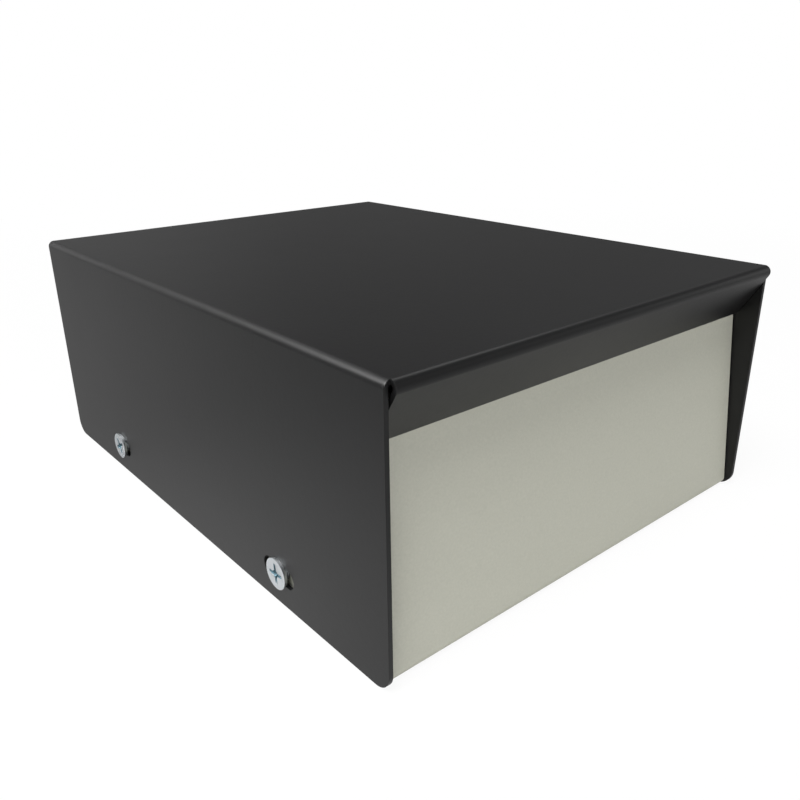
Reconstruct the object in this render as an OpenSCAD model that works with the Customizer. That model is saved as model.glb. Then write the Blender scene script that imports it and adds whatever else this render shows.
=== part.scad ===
// Steel instrument enclosure: a folded cover, screwed over a folded base.
// X runs across the front and +Y to the rear. The lower edges of the cover's sides stand on z = 0.

/* [Cover] */
// Outer width of the cover
cover_w = 152.4; // [100:0.1:300]
// Depth of the cover's sides, from front edge to rear edge
cover_d = 196.8; // [150:0.1:400]
// Height of the cover above its standing edges
cover_h = 76.4; // [55:0.1:160]
// Thickness of the cover's sheet
cover_t = 1.25; // [0.8:0.05:2]
// Radius of the lower corners of the sides
corner_r = 5; // [1:0.5:9]
// Lean of the front and rear lips, in degrees from upright
lip_lean = 31.2; // [25:0.1:45]
// Gap between the edge of a lip and the panel behind it
lip_gap = 0.4; // [0.1:0.1:1]

/* [Base] */
// Thickness of the base's sheet
base_t = 1.2; // [0.8:0.05:2]
// Height of the base's underside above the cover's standing edges
base_lift = 0.6; // [0.2:0.1:3]
// Lean of the front and rear panels, in degrees from upright
panel_lean = 5.7; // [0:0.1:10]
// Distance of a panel's foot behind the edges of the cover's sides
panel_recess = 1.8; // [0.5:0.05:6]
// Depth of the return along the top of each panel
return_d = 12; // [6:0.5:20]
// Distance that the ends of a return stand back from the ends of its panel
return_setback = 3; // [1.5:0.5:10]
// Gap between the base and each side of the cover
side_gap = 0.5; // [0.1:0.1:1]
// Gap between the returns and the underside of the cover's top
top_gap = 0.3; // [0.1:0.1:1]
// Height of the side flanges above the screw axes
flange_rise = 9.4; // [6:0.2:20]
// Gap between the ends of the side flanges and the panels
flange_gap = 1.5; // [0.5:0.1:5]

/* [Bends] */
// Inside radius of every bend
bend_r = 0.6; // [0.4:0.05:1.5]

/* [Screws] */
// Height of the screw axes above the cover's standing edges
screw_z = 9.5; // [9:0.1:16]
// Distance of the screw axes from the front and rear edges of the sides
screw_inset = 45.8; // [20:0.1:60]
// Length of the slots in the cover
slot_l = 14.4; // [8:0.1:20]
// Width of the slots in the cover
slot_w = 5.7; // [5.4:0.1:7]
// Diameter of the screw thread
screw_d = 4.8; // [3:0.1:5]
// Length of a screw under its head
screw_l = 9.5; // [6:0.5:16]
// Length of the bevel at a screw's tip
tip_bevel = 0.6; // [0.2:0.1:1]
// Diameter of the screw heads
head_d = 9.2; // [8:0.1:12]
// Thickness of the screw heads
head_h = 1; // [0.8:0.1:3]
// Bevel round the edge of a head's face
head_bevel = 0.15; // [0.05:0.05:0.4]
// Span of the cross recess, tip to tip
recess_d = 5.9; // [3:0.1:6]
// Width of a wing of the cross recess
recess_wing = 0.95; // [0.6:0.05:1.4]
// Diameter of the well at the middle of the cross recess
recess_well = 2.3; // [1.5:0.1:3]
// Diameter of the floor of the cross recess
recess_floor = 1.2; // [0.6:0.1:1.4]
// Depth of the cross recess
recess_depth = 1.8; // [1:0.1:2.5]
// Gap all round between the thread and its tapped collar
thread_gap = 0.05; // [0.02:0.01:0.2]
// Wall of a tapped collar at its root
collar_wall = 1.5; // [1:0.1:2.5]
// Wall of a tapped collar at its rim
collar_rim = 0.9; // [0.5:0.1:1]
// Height of a tapped collar above the flange
collar_h = 1.6; // [0.8:0.1:3]

/* [Hidden] */
$fn = 64;

cover_bend = bend_r + cover_t;
base_bend = bend_r + base_t;

// The cover's top between its bend lines, and its sides below them
top_w = cover_w - 2 * cover_bend;
side_h = cover_h - cover_bend;
screw_y = cover_d / 2 - screw_inset;

// The base takes its size from the inside of the cover
base_w = cover_w - 2 * (cover_t + side_gap);
base_d = cover_d - 2 * panel_recess;
base_h = cover_h - cover_t - top_gap - base_lift;
floor_w = base_w - 2 * base_bend;
floor_d = base_d - 2 * base_bend * tan((90 + panel_lean) / 2);
panel_h = (base_h - 2 * base_bend) / cos(panel_lean);
return_w = base_w - 2 * return_setback;

// The side flanges end clear of the leaning panels, at the height where the panels are nearest
flange_top = screw_z - base_lift + flange_rise;
flange_h = flange_top - base_bend;
flange_d = base_d - 2 * (flange_top * tan(panel_lean) + base_t / cos(panel_lean) + flange_gap);
collar_bore = screw_d + 2 * thread_gap;

// A lip runs on until the inside of its edge is lip_gap from the panel's face
lip_turn = lip_lean + panel_lean;
bend_to_panel = panel_recess * cos(panel_lean) + (side_h - base_lift) * sin(panel_lean);
lip_l = (bend_to_panel + bend_r * cos(lip_turn) - lip_gap) / sin(lip_turn);

// Overlap that carries a cut through a face
cut = 1;
// Straight steps that a bend is drawn with
bend_steps = 12;

// Points along one face of a folded strip that sets out along +X and turns down at each bend. A fold is
// a flat length and the angle of the bend after it. The outer face has depth 0, the inner face the sheet's t.
function face(folds, t, depth, at = [0, 0], heading = 0, i = 0) =
    let (
        radius = bend_r + t,
        turn = folds[i][1],
        bend_at = at + folds[i][0] * [cos(heading), sin(heading)],
        hinge = bend_at - radius * spoke(heading),
        arc = [for (k = [0:bend_steps]) hinge + (radius - depth) * spoke(heading - turn * k / bend_steps)]
    )
    i == len(folds) - 1
        ? [bend_at - depth * spoke(heading)]
        : concat(arc, face(folds, t, depth, hinge + radius * spoke(heading - turn), heading - turn, i + 1));

// Direction that the outer face looks in where the strip runs at a heading
function spoke(heading) = [-sin(heading), cos(heading)];

function reversed(points) = [for (i = [len(points) - 1:-1:0]) points[i]];

// Outline of a folded strip, from the start of its first bend to its far edge and back
function strip(folds, t) = concat(face(folds, t, 0), reversed(face(folds, t, t)));

// Stands a section up, so that its own X runs along +X or +Y, and runs it out to a width on both sides
module run_out(width, along = 0) {
    rotate(along)
        rotate([90, 0, 0])
            linear_extrude(width, center = true)
                children();
}

// Section of a sheet that is folded alike at both ends, with its middle at x = 0
module channel(folds, t) {
    half = strip(folds, t);
    polygon(concat(half, reversed([for (p = half) [-p.x, p.y]])));
}

// A slot with round ends along X
module slot() {
    reach = (slot_l - slot_w) / 2;
    translate([-reach, -slot_w / 2])
        square([2 * reach, slot_w]);
    for (end = [-1, 1])
        translate([end * reach, 0])
            circle(d = slot_w);
}

// The cover's sides as seen from the side: square at the top, with round lower corners and two slots
module side_view() {
    difference() {
        union() {
            translate([-cover_d / 2, corner_r])
                square([cover_d, cover_h - corner_r + cut]);
            translate([corner_r - cover_d / 2, 0])
                square([cover_d - 2 * corner_r, cover_h + cut]);
            for (end = [-1, 1])
                translate([end * (cover_d / 2 - corner_r), corner_r])
                    circle(corner_r);
        }
        for (end = [-1, 1])
            translate([end * screw_y, screw_z])
                slot();
    }
}

// The cover: top, two sides and two lips. The sheet is notched square where the bend lines cross.
module cover() {
    color("#303031") {
        intersection() {
            translate([0, 0, cover_h])
                run_out(cover_d + 2 * cut)
                    channel([[top_w / 2, 90], [side_h, 0]], cover_t);
            run_out(cover_w + 2 * cut, 90)
                side_view();
        }
        translate([0, 0, cover_h])
            run_out(top_w, 90)
                channel([[cover_d / 2, 90 + lip_lean], [lip_l, 0]], cover_t);
    }
}

// Places its children on the axis of each screw, at x from the middle of the case and looking outwards
module at_screws(x) {
    for (turn = [0, 180])
        rotate(turn)
            for (end = [-1, 1])
                translate([x, end * screw_y, screw_z])
                    rotate([0, 90, 0])
                        children();
}

// The folded sheet of the base. It is drawn outer face up and turned over, so that its bends rise.
module base_sheet() {
    translate([0, 0, base_lift])
        mirror([0, 0, 1]) {
            translate([-floor_w / 2, -floor_d / 2, -base_t])
                cube([floor_w, floor_d, base_t]);
            run_out(flange_d)
                channel([[floor_w / 2, 90], [flange_h, 0]], base_t);
            run_out(return_w, 90)
                channel([[floor_d / 2, 90 + panel_lean], [panel_h, 90 - panel_lean], [return_d, 0]], base_t);
            for (turn = [90, 270])
                run_out(base_w, turn)
                    polygon(strip([[floor_d / 2, 90 + panel_lean], [panel_h, 0]], base_t));
        }
}

// A tapped collar before it is bored: it widens to the flange at z = collar_h, and its root lies in the sheet
module collar() {
    rim = collar_bore / 2 + collar_rim;
    root = collar_bore / 2 + collar_wall;
    rotate_extrude()
        polygon([
            [0, 0],
            [rim, 0],
            [root, collar_h],
            [root, collar_h + base_t / 2],
            [0, collar_h + base_t / 2],
        ]);
}

// The base: floor, front and rear panels with their returns, and two side flanges with tapped collars
module base() {
    color("#b4b5a7")
        difference() {
            union() {
                base_sheet();
                at_screws(base_w / 2 - base_t - collar_h)
                    collar();
            }
            at_screws(base_w / 2 - base_t - collar_h - cut)
                cylinder(h = base_t + collar_h + 2 * cut, d = collar_bore);
        }
}

// The cross recess, sunk below z = 0: four wings that narrow to the floor, and a well between them
module cross_recess() {
    translate([0, 0, -recess_depth]) {
        intersection() {
            cylinder(h = recess_depth + cut, d1 = recess_floor, d2 = recess_mouth(recess_d));
            for (turn = [0, 90])
                rotate(turn)
                    translate([-recess_d, -recess_wing / 2, 0])
                        cube([2 * recess_d, recess_wing, recess_depth + cut]);
        }
        cylinder(h = recess_depth + cut, d1 = recess_floor, d2 = recess_mouth(recess_well));
    }
}

// Diameter of a cone of the recess at the height where its cutting shape ends, above the head's face
function recess_mouth(d) = d + (d - recess_floor) * cut / recess_depth;

// One screw, with the underside of its flat head at z = 0 and its shank below
module screw() {
    difference() {
        rotate_extrude()
            polygon([
                [0, head_h],
                [head_d / 2 - head_bevel, head_h],
                [head_d / 2, head_h - head_bevel],
                [head_d / 2, 0],
                [screw_d / 2, 0],
                [screw_d / 2, tip_bevel - screw_l],
                [screw_d / 2 - tip_bevel, -screw_l],
                [0, -screw_l],
            ]);
        translate([0, 0, head_h])
            cross_recess();
    }
}

// The four screws, with their heads seated on the cover's sides
module cover_screws() {
    color("#c9ced3")
        at_screws(cover_w / 2)
            screw();
}

cover();
base();
cover_screws();
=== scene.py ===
"""Steel instrument case: a light grey folded base, a satin black folded cover and their four screws."""

import bmesh
import bpy
import numpy as np
from mathutils import Matrix, Vector


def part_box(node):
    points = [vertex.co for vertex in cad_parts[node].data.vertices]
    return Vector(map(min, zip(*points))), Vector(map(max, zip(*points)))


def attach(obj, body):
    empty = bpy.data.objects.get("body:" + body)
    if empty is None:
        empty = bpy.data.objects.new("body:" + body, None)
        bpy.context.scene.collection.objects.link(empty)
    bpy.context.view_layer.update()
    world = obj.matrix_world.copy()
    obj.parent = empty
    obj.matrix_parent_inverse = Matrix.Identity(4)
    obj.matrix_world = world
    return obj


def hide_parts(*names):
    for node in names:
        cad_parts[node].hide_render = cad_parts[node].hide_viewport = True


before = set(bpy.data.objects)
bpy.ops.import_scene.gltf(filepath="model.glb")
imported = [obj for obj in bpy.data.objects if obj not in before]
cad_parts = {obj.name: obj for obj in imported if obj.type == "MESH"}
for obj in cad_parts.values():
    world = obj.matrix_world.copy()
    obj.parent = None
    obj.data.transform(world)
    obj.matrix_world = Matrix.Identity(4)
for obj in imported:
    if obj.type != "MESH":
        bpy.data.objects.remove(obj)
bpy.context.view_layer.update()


# Base: one steel blank, notched at its corners and folded up into a floor, two end panels that lean inwards,
# a return along the top of each panel and a low flange along each side. The screw holes are drawn inwards out
# of the flanges as collars, and the whole is painted light grey with a fine texture.
base_lo, base_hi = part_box("base")
base_w, base_d, base_h = base_hi - base_lo
screws_lo, screws_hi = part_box("cover_screws")
head_d = screws_hi.z - screws_lo.z
screw_y = screws_hi.y - head_d / 2
screw_z = (screws_lo.z + screws_hi.z) / 2

base_t = 0.0012
base_bend = 0.0018
panel_lean = np.radians(5.7)
return_d = 0.012
return_setback = 0.003
flange_rise = 0.0094
flange_gap = 0.0015
bore_r = 0.00245
bore_mouth = 0.0004
mouth_steps = 4
collar_h = 0.0016
collar_cell = 0.004
hole_steps = 6
bend_steps = 16
edge_round = 0.00008
edge_steps = 3
edge_turn = np.radians(40)
line_digits = 9
weld_gap = 2e-7

floor_w = base_w - 2 * base_bend
floor_d = base_d - 2 * base_bend * np.tan((np.pi / 2 + panel_lean) / 2)
panel_h = (base_h - 2 * base_bend) / np.cos(panel_lean)
flange_top = screw_z - base_lo.z + flange_rise
flange_d = base_d - 2 * (flange_top * np.tan(panel_lean) + base_t / np.cos(panel_lean) + flange_gap)
flange_folds = [(floor_w / 2, np.pi / 2), (flange_top - base_bend, 0)]
panel_folds = [(floor_d / 2, np.pi / 2 + panel_lean), (panel_h, np.pi / 2 - panel_lean), (return_d, 0)]


def folded(distance, folds, radius, depth=0):
    """Run and drop of points of a strip once it is folded. A point goes straight on along each flat and round
    an arc of the outer radius in each bend, for as much of its distance as falls there. Depth is measured
    square to the strip."""
    run, drop, start, heading, leaning = 0, 0, 0, 0, 0
    for flat, turn in folds:
        on_flat = np.clip(distance - start, 0, flat)
        run = run + on_flat * np.cos(heading)
        drop = drop + on_flat * np.sin(heading)
        start = start + flat
        in_bend = np.clip((distance - start) / radius, 0, turn)
        run = run + radius * (np.sin(heading + in_bend) - np.sin(heading))
        drop = drop + radius * (np.cos(heading) - np.cos(heading + in_bend))
        start = start + radius * turn
        leaning = leaning + in_bend
        heading = heading + turn
    return run - depth * np.sin(leaning), drop + depth * np.cos(leaning)


def fold_blank(u, v, depth, side_folds, side_d, end_folds, radius):
    """Place of blank points (u, v), measured from the blank's middle: |u| is folded over the side bends, as
    far along as the sides run, and |v| over the end bends. Gives x, y and the drop."""
    in_side = np.abs(v) < side_d / 2 + 10.0**-line_digits
    x, side_drop = folded(np.abs(u), side_folds, radius, depth)
    y, end_drop = folded(np.abs(v), end_folds, radius)
    x = np.where(in_side, x, np.abs(u))
    return np.sign(u) * x, np.sign(v) * y, end_drop + np.where(in_side, side_drop, 0)


def mirrored_lines(*stretches):
    """Grid lines of a blank: those of one half, in order and without doubles, and their mirror image."""
    half = np.unique(np.round(np.concatenate([np.atleast_1d(s) for s in stretches]), line_digits))
    return np.concatenate([-half[half > 0][::-1], half])


def bend_lines(folds, radius):
    """Distances of the grid lines in a strip's bends, even in angle, and of its far edge."""
    flat, turn = np.array(folds).T
    ends = np.cumsum(flat + radius * turn)
    back = np.linspace(1, 0, bend_steps + 1)[:, None] * radius * turn
    return (ends - back).ravel()


def hole_spokes(reach, cell):
    """Spokes round a hole with round ends, half of whose straight is reach: feet along the middle line and
    unit directions (along, across). They end on the hole's cell, a rectangle that stands off the middle line
    by cell."""
    turn = np.linspace(-np.pi / 2, np.pi / 2, 4 * hole_steps + 1)
    straight = np.linspace(reach, -reach, hole_steps + 1)[1:-1] if reach else np.zeros(0)
    square = np.full(straight.size, np.pi / 2)
    foot = np.concatenate([np.full(turn.size, reach), straight, np.full(turn.size, -reach), -straight])
    angle = np.concatenate([turn, square, turn + np.pi, -square])
    spoke = np.stack([np.cos(angle), np.sin(angle)])
    rim = cell * spoke / np.abs(spoke).max(0)
    return foot, spoke, rim


def ring_grid(at_u, at_v, foot, spoke, rim, radii, depths):
    """Blank points round a hole: the outline of its cell, then a ring at each radius and depth."""
    along = np.stack([foot + rim[0], *(foot + r * spoke[0] for r in radii)])
    across = np.stack([rim[1], *(r * spoke[1] for r in radii)])
    sunk = np.repeat(np.concatenate([[0], depths])[:, None], foot.size, axis=1)
    return at_u + across, at_v + along, sunk


def grid_faces(shape, closed=False):
    """Corner numbers of the four-sided cells of a grid of points, the second direction closed if asked."""
    number = np.arange(shape[0] * shape[1]).reshape(shape)
    if closed:
        number = np.concatenate([number, number[:, :1]], axis=1)
    return np.stack([number[:-1, :-1], number[1:, :-1], number[1:, 1:], number[:-1, 1:]], axis=-1)


def mesh_object(name, points, faces):
    """Object of points and faces that are joined where they meet. Points that no face uses are left out."""
    used, corners = np.unique(faces, return_inverse=True)
    mesh = bpy.data.meshes.new(name)
    mesh.from_pydata(points[used].tolist(), [], corners.reshape(faces.shape).tolist())
    joined = bmesh.new()
    joined.from_mesh(mesh)
    bmesh.ops.remove_doubles(joined, verts=joined.verts, dist=weld_gap)
    joined.to_mesh(mesh)
    joined.free()
    mesh.polygons.foreach_set("use_smooth", np.ones(len(mesh.polygons), bool))
    made = bpy.data.objects.new(name, mesh)
    bpy.context.scene.collection.objects.link(made)
    return made


def sheet_object(name, u, v, kept, rings, place, thickness):
    """Folded sheet: the outer face of a blank's kept cells and of the rings round its holes, each point put
    in its place, then given the sheet's thickness and edges that the paint has rounded."""
    grid_u, grid_v = np.meshgrid(u, v, indexing="ij")
    patches = [(grid_u, grid_v, np.zeros(grid_u.shape))] + rings
    cells = [grid_faces(grid_u.shape)[kept]]
    cells += [grid_faces(ring[0].shape, closed=True).reshape(-1, 4) for ring in rings]
    counts = np.cumsum([0] + [p[0].size for p in patches[:-1]])
    faces = np.concatenate([c + n for c, n in zip(cells, counts)])
    blank = [np.concatenate([p[i].ravel() for p in patches]) for i in range(3)]
    sheet = mesh_object(name, np.stack(place(*blank), axis=-1), faces)
    wall = sheet.modifiers.new("sheet", "SOLIDIFY")
    wall.thickness = thickness
    wall.offset = -1
    wall.use_even_offset = True
    rounding = sheet.modifiers.new("edges", "BEVEL")
    rounding.width = edge_round
    rounding.segments = edge_steps
    rounding.limit_method = "ANGLE"
    rounding.angle_limit = edge_turn
    sheet.modifiers.new("flats", "WEIGHTED_NORMAL")
    return sheet


def base_place(u, v, depth):
    """The base's blank lies outer face down, so its bends rise and v runs to the front."""
    x, y, rise = fold_blank(u, v, depth, flange_folds, flange_d, panel_folds, base_bend)
    return x, -y, base_lo.z + rise


foot, spoke, rim = hole_spokes(0, collar_cell)
hole_u = floor_w / 2 + base_bend * np.pi / 2 + screw_z - base_lo.z - base_bend
mouth_turn = np.linspace(0, np.pi / 2, mouth_steps + 1)
collar_radii = np.append(bore_r + bore_mouth * (1 - np.sin(mouth_turn)), bore_r)
collar_depths = np.append(bore_mouth * (1 - np.cos(mouth_turn)), base_t + collar_h)
collars = [
    ring_grid(side * hole_u, end * screw_y, foot, spoke, rim, collar_radii, collar_depths)
    for side in (-1, 1)
    for end in (-1, 1)
]
base_u = mirrored_lines(
    0, base_w / 2 - return_setback, base_w / 2, bend_lines(flange_folds, base_bend), hole_u + rim[1]
)
base_v = mirrored_lines(0, screw_y + rim[0], flange_d / 2, bend_lines(panel_folds, base_bend))
cell_u = np.abs(base_u[:-1] + base_u[1:])[:, None] / 2
cell_v = np.abs(base_v[:-1] + base_v[1:])[None, :] / 2
panel_top = panel_folds[0][0] + base_bend * panel_folds[0][1] + panel_h
in_floor = (cell_u < floor_w / 2) & (cell_v < floor_d / 2)
in_flange = (cell_u > floor_w / 2) & (cell_v < flange_d / 2)
in_panel = (cell_u < base_w / 2) & (cell_v > floor_d / 2) & (cell_v < panel_top)
in_return = (cell_u < base_w / 2 - return_setback) & (cell_v > panel_top)
at_collar = (np.abs(cell_u - hole_u) < collar_cell) & (np.abs(cell_v - screw_y) < collar_cell)
base_kept = (in_floor | in_flange | in_panel | in_return) & ~at_collar
base = sheet_object("base_sheet", base_u, base_v, base_kept, collars, base_place, base_t)


class Shade:
    """A socket of a material's nodes. Arithmetic on it adds Math nodes."""

    def __init__(self, tree, socket=None):
        self.tree = tree
        self.socket = socket

    def node(self, kind, settings=(), sockets=(), out=0):
        """Adds a node of that kind with its settings and its sockets' values or links; gives one output."""
        made = self.tree.nodes.new(kind)
        for name, value in dict(settings).items():
            setattr(made, name, value)
        for name, value in dict(sockets).items():
            if isinstance(value, Shade):
                self.tree.links.new(value.socket, made.inputs[name])
            else:
                made.inputs[name].default_value = value
        return Shade(self.tree, made.outputs[out] if len(made.outputs) else None)

    def maths(self, operation, *values):
        return self.node("ShaderNodeMath", {"operation": operation}, dict(enumerate(values)))

    def __add__(self, other):
        return self.maths("ADD", self, other)

    def __mul__(self, other):
        return self.maths("MULTIPLY", self, other)

    __radd__ = __add__
    __rmul__ = __mul__

    def mix(self, first, second, share):
        """A colour between two colours, by a share from 0 to 1."""
        pair = [c if isinstance(c, Shade) else (*c, 1) for c in (first, second)]
        return self.node("ShaderNodeMix", {"data_type": "RGBA"}, {0: share, 6: pair[0], 7: pair[1]}, out=2)

    def noise(self, place, scale, detail):
        """Noise from 0 to 1, with about as many grains to the metre as its scale."""
        return self.node("ShaderNodeTexNoise", {}, {"Vector": place, "Scale": scale, "Detail": detail})

    def bump(self, height, relief):
        """Normal of a surface whose height, from 0 to 1, is worth that relief in metres."""
        return self.node("ShaderNodeBump", {}, {"Strength": 1.0, "Distance": relief, "Height": height})


def new_material(name):
    """An empty node material, a start for its shades and its Object coordinates."""
    material = bpy.data.materials.new(name)
    material.use_nodes = True
    material.node_tree.nodes.clear()
    shade = Shade(material.node_tree)
    return material, shade, shade.node("ShaderNodeTexCoord", out="Object")


def finish_material(material, surface):
    """Links a surface shader to the material's output."""
    Shade(material.node_tree).node("ShaderNodeOutputMaterial", {}, {"Surface": surface})


base_colour = (0.452, 0.452, 0.385)
base_speck = (0.378, 0.378, 0.322)
base_rough = 0.52
base_rough_cloud = 0.08
base_rough_grain = 0.06
base_grain = 0.0006
base_cloud_scale = 60.0
base_relief = 0.000012

base_paint, shade, place = new_material("base_paint")
grain = shade.noise(place, 1 / base_grain, detail=2.0)
cloud = shade.noise(place, base_cloud_scale, detail=3.0)
paint = shade.node("ShaderNodeBsdfPrincipled", {}, {
    "Base Color": shade.mix(base_colour, base_speck, grain),
    "Roughness": base_rough + base_rough_cloud * cloud + base_rough_grain * grain,
    "Normal": shade.bump(grain, base_relief),
})
finish_material(base_paint, paint)
base.data.materials.append(base_paint)
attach(base, "root")
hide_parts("base")


# Cover: one steel blank, notched at its corners, folded down into two sides and two end lips that are bent
# past square until they close on the panels. Each side has round lower corners and two slots for the screws,
# and the sheet is painted satin black all over.
cover_lo, cover_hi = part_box("cover")
cover_w, cover_reach, cover_h = cover_hi - cover_lo

cover_t = 0.00125
cover_bend = 0.002
notch = 0.00185
lip_lean = np.radians(31.2)
lip_gap = 0.0004
corner_r = 0.005
corner_steps = 8
slot_l = 0.0144
slot_w = 0.0057
slot_cell = 0.0043
slot_support = 0.0006

cover_d = cover_reach - 2 * notch
lip_w = cover_w - 2 * notch
top_w = cover_w - 2 * cover_bend
top_d = cover_reach - 2 * cover_bend
side_h = cover_h - cover_bend
panel_recess = (top_d - base_d) / 2
lip_turn = lip_lean + panel_lean
bend_to_panel = panel_recess * np.cos(panel_lean) + (side_h - base_lo.z) * np.sin(panel_lean)
lip_l = (bend_to_panel + (cover_bend - cover_t) * np.cos(lip_turn) - lip_gap) / np.sin(lip_turn)
side_folds = [(top_w / 2, np.pi / 2), (side_h, 0)]
lip_folds = [(top_d / 2, np.pi / 2 + lip_lean), (lip_l, 0)]
side_edge = top_w / 2 + cover_bend * np.pi / 2 + side_h


def cover_place(u, v, depth):
    """Rounds the blank's lower corners and folds it. With p and q the distances past the middle of a corner's
    circle as shares of its radius, p becomes p sqrt(1 - q q / 2), and q becomes q sqrt(1 - p p / 2)."""
    p = np.clip((np.abs(u) - side_edge) / corner_r + 1, 0, 1)
    q = np.clip((np.abs(v) - cover_d / 2) / corner_r + 1, 0, 1)
    u = u - np.sign(u) * corner_r * p * (1 - np.sqrt(1 - q * q / 2))
    v = v - np.sign(v) * corner_r * q * (1 - np.sqrt(1 - p * p / 2))
    x, y, drop = fold_blank(u, v, depth, side_folds, cover_d, lip_folds, cover_bend)
    return x, y, cover_hi.z - drop


slot_reach = (slot_l - slot_w) / 2
foot, spoke, rim = hole_spokes(slot_reach, slot_cell)
slot_u = side_edge - screw_z
slot_radii = np.array([slot_w / 2 + slot_support, slot_w / 2])
slots = [
    ring_grid(side * slot_u, end * screw_y, foot, spoke, rim, slot_radii, np.zeros(2))
    for side in (-1, 1)
    for end in (-1, 1)
]
corner_lines = corner_r * np.linspace(-1, 0, corner_steps + 1)
cover_u = mirrored_lines(
    0, lip_w / 2, bend_lines(side_folds, cover_bend), slot_u + rim[1], side_edge + corner_lines
)
cover_v = mirrored_lines(
    0, screw_y + foot + rim[0], cover_d / 2 + corner_lines, bend_lines(lip_folds, cover_bend)
)
cell_u = np.abs(cover_u[:-1] + cover_u[1:])[:, None] / 2
cell_v = np.abs(cover_v[:-1] + cover_v[1:])[None, :] / 2
at_slot = (np.abs(cell_u - slot_u) < slot_cell) & (np.abs(cell_v - screw_y) < slot_cell + slot_reach)
cover_kept = ((cell_u < lip_w / 2) | (cell_v < cover_d / 2)) & ~at_slot
cover = sheet_object("cover_sheet", cover_u, cover_v, cover_kept, slots, cover_place, cover_t)

cover_colour = (0.006, 0.006, 0.0062)
cover_dull = (0.0075, 0.0075, 0.0077)
cover_rough = 0.3
cover_rough_cloud = 0.03
cover_rough_grain = 0.05
cover_peel = 0.0016
cover_grain_scale = 4000.0
cover_cloud_scale = 45.0
cover_relief = 0.000012

cover_paint, shade, place = new_material("cover_paint")
peel = shade.noise(place, 1 / cover_peel, detail=1.0)
grain = shade.noise(place, cover_grain_scale, detail=2.0)
cloud = shade.noise(place, cover_cloud_scale, detail=3.0)
paint = shade.node("ShaderNodeBsdfPrincipled", {}, {
    "Base Color": shade.mix(cover_colour, cover_dull, cloud),
    "Roughness": cover_rough + cover_rough_cloud * cloud + cover_rough_grain * grain,
    "Specular IOR Level": 0.4,
    "Normal": shade.bump(peel, cover_relief),
})
finish_material(cover_paint, paint)
cover.data.materials.append(cover_paint)
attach(cover, "root")
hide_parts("cover")


# Screws: four steel machine screws with thin flat heads and a cross recess, cold headed, thread rolled and
# plated with bright zinc. They pass through the cover's slots into the collars of the base.
head_h = screws_hi.x - cover_hi.x
head_r = 0.0045
head_undercut = 0.0003
head_sharp = np.radians(50)
screw_r = 0.0024
screw_l = 0.0095
tip_bevel = 0.0006
thread_pitch = 0.0008
thread_depth = 0.00045
thread_flat = 0.2
thread_rows = 10
recess_tip = 0.00295
recess_tip_floor = 0.00075
recess_well = 0.00115
recess_well_floor = 0.0006
recess_wing = 0.000475
recess_depth = 0.0012
recess_edge = 0.00003
recess_scoop = 0.6
recess_rows = 8
tip_steps = 8
wing_steps = 7
well_steps = 12


def cross_outline(tip, well, wing):
    """Outline of a cross recess: four wings with straight sides and round tips, and a round well between
    them. Gives points (along, across) in order round the axis, as many on each stretch whatever the sizes."""
    tip_turn = np.arcsin(wing / tip) * np.linspace(-1, 1, tip_steps + 1)
    well_turn = np.linspace(np.arcsin(wing / well), np.pi / 2 - np.arcsin(wing / well), well_steps + 1)
    wing_ends = np.sqrt(tip**2 - wing**2), np.sqrt(well**2 - wing**2)
    side = np.linspace(*wing_ends, wing_steps + 1)[1:-1] + 1j * wing
    quarter = np.concatenate([
        tip * np.exp(1j * tip_turn),
        side,
        well * np.exp(1j * well_turn),
        (1j * side.conj())[::-1],
    ])
    return np.concatenate([quarter * 1j**turn for turn in range(4)])


def screw_points():
    """One screw along its axis: rings of points from the middle of the recess floor, over the head and down
    the thread to the tip. On the shank the radius follows a wave of the height less a pitch for each turn."""
    mouth = cross_outline(recess_tip, recess_well, recess_wing)
    round_unit = mouth / np.abs(mouth)
    sink = np.linspace(1, 0, recess_rows + 1)
    tips = recess_tip + (recess_tip_floor - recess_tip) * sink**recess_scoop
    wells = recess_well + (recess_well_floor - recess_well) * sink
    recess = [cross_outline(tip, well, recess_wing) for tip, well in zip(tips, wells)]
    recess_at = head_h - recess_edge - (recess_depth - recess_edge) * sink
    lip = cross_outline(recess_tip + recess_edge, recess_well + recess_edge, recess_wing + recess_edge)
    head_radii = [head_r, head_r - head_undercut, screw_r]
    head_at = [head_h, 0, 0]
    thread_at = np.arange(0, -screw_l, -thread_pitch / thread_rows)
    phase = thread_at[:, None] / thread_pitch - np.angle(round_unit)[None, :] / (2 * np.pi)
    crest = np.clip((1 + 2 * thread_flat) * np.abs(2 * (phase % 1) - 1) - thread_flat, 0, 1)
    run_out = np.clip(-thread_at / thread_pitch, 0, 1)[:, None]
    thread_radii = screw_r - thread_depth * run_out * (1 - crest)
    tip_radii = screw_r - tip_bevel + (thread_at + screw_l)
    thread_radii = np.minimum(thread_radii, tip_radii[:, None])
    rings = [0 * mouth] + recess + [lip] + [r * round_unit for r in head_radii]
    rings = np.concatenate([rings, thread_radii * round_unit, [0 * mouth]])
    at = np.concatenate([
        [head_h - recess_depth], recess_at, [head_h], head_at, thread_at, [-screw_l]
    ])
    return at[:, None] + 0 * rings.real, rings.real, rings.imag


zinc_colour = (0.78, 0.81, 0.83)
zinc_haze = (0.72, 0.76, 0.79)
# The recess gets a darker, bluer colour than the face: painted shade for the hollow of the recess.
recess_shade_blue = (0.14, 0.225, 0.265)
zinc_rough = 0.34
zinc_rough_cloud = 0.06
zinc_rough_scratch = 0.04
zinc_rough_sunk = 0.3
zinc_cloud_scale = 900.0
zinc_scratch_scale = 9000.0
zinc_relief = 0.000002
recess_turns = {"front_left": 5, "rear_left": 28, "front_right": 63, "rear_right": 41}

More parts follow.
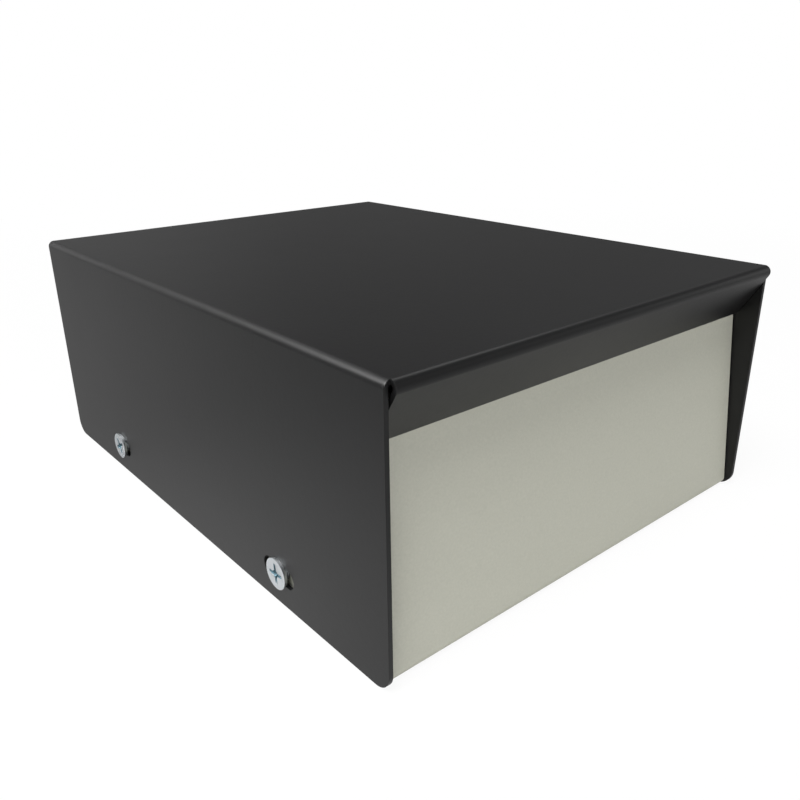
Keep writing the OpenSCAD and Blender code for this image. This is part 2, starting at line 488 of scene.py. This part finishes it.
zinc, shade, place = new_material("zinc_plate")
# sunk is 1 in the recess: it mixes in the painted shade colour there and also raises the roughness.
sunk = shade.node("ShaderNodeAttribute", {"attribute_name": "sunk"}, out="Fac")
cloud = shade.noise(place, zinc_cloud_scale, detail=3.0)
scratch = shade.noise(place, zinc_scratch_scale, detail=2.0)
bright = shade.mix(zinc_colour, zinc_haze, cloud)
dulled = zinc_rough_cloud * cloud + zinc_rough_scratch * scratch + zinc_rough_sunk * sunk
plate = shade.node("ShaderNodeBsdfPrincipled", {}, {
    "Base Color": shade.mix(bright, recess_shade_blue, sunk),
    "Metallic": 1.0,
    "Roughness": zinc_rough + dulled,
    "Normal": shade.bump(scratch, zinc_relief),
})
finish_material(zinc, plate)

axial, along, across = screw_points()
screw_faces = grid_faces(axial.shape, closed=True).reshape(-1, 4)
for side, side_name in ((-1, "left"), (1, "right")):
    for end, end_name in ((-1, "front"), (1, "rear")):
        name = f"{end_name}_{side_name}"
        turned = (along + 1j * across) * np.exp(1j * np.radians(recess_turns[name]))
        points = np.stack([
            side * (cover_w / 2 + axial), end * screw_y + side * turned.real, screw_z + turned.imag
        ], axis=-1)
        screw = mesh_object(f"screw_{name}", points.reshape(-1, 3), screw_faces)
        joined_at = np.zeros(3 * len(screw.data.vertices))
        screw.data.vertices.foreach_get("co", joined_at)
        x, y, z = joined_at.reshape(-1, 3).T
        below_face = cover_w / 2 + head_h - np.abs(x)
        in_recess = (np.hypot(y - end * screw_y, z - screw_z) < recess_tip) & (below_face < recess_depth)
        depth_share = in_recess * np.clip(below_face / recess_edge, 0, 1)
        # sunk marks the recess, where the colour is darkened as painted shade.
        screw.data.attributes.new("sunk", "FLOAT", "POINT").data.foreach_set("value", depth_share)
        screw.data.set_sharp_from_angle(angle=head_sharp)
        screw.data.materials.append(zinc)
        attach(screw, "root")
        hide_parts("cover_screws")


# Stage: a plain pale floor, white to the camera, in a white room. Gloss mirrors the floor dimmer, with a
# painted pool of light on either side, and a tent glowing dim grey with soft bright patches, painted light
# which nothing else sees. Round soft lamps light the case from over the camera's shoulder, from the front
# and, out of the gloss, from behind.
floor_reach = 3.0
floor_colour = (0.85, 0.85, 0.85, 1)
floor_near = 0.93
floor_near_r = 0.25
floor_far_r = 0.7
floor_mirrored = 0.39
pools_at = [(-0.1, -0.06, 0), (0.1, 0.06, 0)]
pool_r = 0.16
pool_glow = 0.29
tent_r = 2.4
tent_rows = 18
tent_columns = 72
tent_glow = 0.115
tent_patches = {
    "right": (-15, 8, 0.95, 0.85),
    "rear": (77, 8, 0.95, 0.14),
    "rear_low": (52, 3, 0.95, 0.06),
    "rear_left": (105, 8, 0.95, 0.65),
    "rear_mid": (72, 37, 0.6, 0.75),
    "front_right": (-40, 25, 0.95, 0.25),
    "rear_high": (28, 49, 0.8, 1.8),
    "rear_right": (18, 30, 0.45, 0.2),
    "left_high": (105, 46, 0.95, 2.2),
    "left": (150, 46, 0.95, 34),
}
room_light = 0.1
lamp_away = 2.0
lamp_r = 0.5
lamps = {
    "key": (200, 62, 46, True),
    "front": (262, 15, 13, True),
    "rear": (75, 15, 12, False),
}


def toward(azimuth, elevation):
    """Unit direction from the case, by degrees counter-clockwise from +X and degrees above the floor."""
    across, up = np.radians(azimuth), np.radians(elevation)
    return Vector((np.cos(across) * np.cos(up), np.sin(across) * np.cos(up), np.sin(up)))


def soft_patch(shade, place, middle, radius, brightness):
    """Brightness of a soft round patch: full at its middle and falling smoothly to nothing at its radius."""
    away = shade.node("ShaderNodeVectorMath", {"operation": "DISTANCE"}, {0: place, 1: middle}, out="Value")
    return shade.node("ShaderNodeMapRange", {"interpolation_type": "SMOOTHSTEP"}, {
        "Value": away, "From Min": 0.0, "From Max": radius, "To Min": brightness, "To Max": 0.0
    })


def ray(shade, kind):
    """1 for a ray of that kind and 0 for any other."""
    return shade.node("ShaderNodeLightPath", out=f"Is {kind} Ray")


corner = floor_reach * np.array([[-1, -1, 0], [1, -1, 0], [1, 1, 0], [-1, 1, 0]])
floor = mesh_object("floor", corner, np.array([[0, 1, 2, 3]]))
floor_white, shade, place = new_material("floor_white")
away = shade.node("ShaderNodeVectorMath", {"operation": "LENGTH"}, {0: place}, out="Value")
near = shade.node("ShaderNodeMapRange", {"interpolation_type": "SMOOTHSTEP"}, {
    "Value": away, "From Min": floor_near_r, "From Max": floor_far_r, "To Min": floor_near, "To Max": 1.0
})
floor_glow = floor_mirrored
# Each pool is a painted pool of light on the floor, which only gloss sees.
for pool_at in pools_at:
    floor_glow = floor_glow + soft_patch(shade, place, pool_at, pool_r, pool_glow)
pale = shade.mix((1, 1, 1), floor_glow, ray(shade, "Glossy"))
seen = ray(shade, "Camera") + ray(shade, "Glossy") + ray(shade, "Transmission")
matt = shade.node("ShaderNodeBsdfDiffuse", {}, {"Color": floor_colour})
white = shade.node("ShaderNodeEmission", {}, {"Color": pale, "Strength": 1.0})
finish_material(floor_white, shade.node("ShaderNodeMixShader", {}, {0: near * seen, 1: matt, 2: white}))
floor.data.materials.append(floor_white)

rise = np.linspace(0, np.pi / 2, tent_rows + 1)[:, None]
round_turn = 2 * np.pi * np.arange(tent_columns)[None, :] / tent_columns
tent_points = tent_r * np.stack([
    np.cos(rise) * np.cos(round_turn), np.cos(rise) * np.sin(round_turn), np.sin(rise) + 0 * round_turn
], axis=-1)
tent_faces = grid_faces(tent_points.shape[:2], closed=True).reshape(-1, 4)
tent = mesh_object("tent", tent_points.reshape(-1, 3), tent_faces)
glowing_tent, shade, place = new_material("glowing_tent")
# The tent's dim grey and its bright patches are glow: painted light for the gloss to mirror.
glow = tent_glow
for azimuth, elevation, radius, brightness in tent_patches.values():
    glow = glow + soft_patch(shade, place, tent_r * toward(azimuth, elevation), radius, brightness)
finish_material(glowing_tent, shade.node("ShaderNodeEmission", {}, {"Color": glow, "Strength": 1.0}))
tent.data.materials.append(glowing_tent)
tent.visible_camera = False
tent.visible_diffuse = False
tent.visible_transmission = False
tent.visible_shadow = False

world = bpy.data.worlds.new("room")
world.use_nodes = True
world.node_tree.nodes.clear()
shade = Shade(world.node_tree)
seen = ray(shade, "Camera") + ray(shade, "Glossy") + ray(shade, "Transmission")
sky = shade.node("ShaderNodeBackground", {}, {
    "Color": (1, 1, 1, 1), "Strength": room_light + (1 - room_light) * seen
})
shade.node("ShaderNodeOutputWorld", {}, {"Surface": sky})
bpy.context.scene.world = world

for name, (azimuth, elevation, watts, in_gloss) in lamps.items():
    aim = toward(azimuth, elevation)
    light = bpy.data.lights.new(name, "AREA")
    light.shape = "DISK"
    light.size = 2 * lamp_r
    light.energy = watts
    lamp = bpy.data.objects.new(name, light)
    turned = aim.to_track_quat("Z", "Y").to_matrix().to_4x4()
    lamp.matrix_world = Matrix.Translation(lamp_away * aim) @ turned
    lamp.visible_camera = False
    lamp.visible_glossy = in_gloss
    bpy.context.scene.collection.objects.link(lamp)


# Camera: a 35 mm lens that stands off the front left corner and looks down on the case. It is turned by hand,
# so the picture's upright lies a little off level.
camera_at = Vector((-0.16271, -0.20660, 0.12853))
camera_azimuth = np.radians(-39.965)
camera_elevation = np.radians(22.033)
camera_roll = np.radians(-0.675)
lens = bpy.data.cameras.new("camera")
lens.lens = 35
lens.sensor_width = 36
lens.clip_start = 0.01
camera = bpy.data.objects.new("camera", lens)
bpy.context.scene.collection.objects.link(camera)
turn = Matrix.Rotation(camera_azimuth, 4, "Z") @ Matrix.Rotation(np.pi / 2 - camera_elevation, 4, "X")
camera.matrix_world = Matrix.Translation(camera_at) @ turn @ Matrix.Rotation(camera_roll, 4, "Z")
bpy.context.scene.camera = camera
bpy.context.scene.view_settings.view_transform = "Standard"
